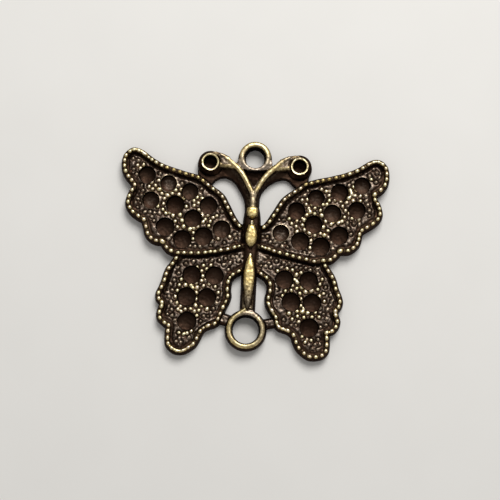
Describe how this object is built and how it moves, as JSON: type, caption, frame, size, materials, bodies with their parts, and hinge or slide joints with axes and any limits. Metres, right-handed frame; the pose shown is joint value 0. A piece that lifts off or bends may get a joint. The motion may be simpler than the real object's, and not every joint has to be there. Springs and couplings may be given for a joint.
{
  "type": "butterfly connector charm",
  "caption": "Cast metal butterfly connector charm with a loop at the head, a ring at the tail, beaded wing rims and open round stone sockets.",
  "frame": {"origin": "on the flat back, under the middle of the thorax", "axes": "+X to the right wing tip, +Y towards the antennae, +Z out of the front"},
  "size_m": [0.0483, 0.0389, 0.0035],
  "materials": {
    "antique_bronze": "antique bronze plating: dark brown patina, rubbed back to pale brass on beads, crests and body"
  },
  "bodies": {
    "root": {"butterfly_connector": "antique_bronze"}
  },
  "joints": []
}
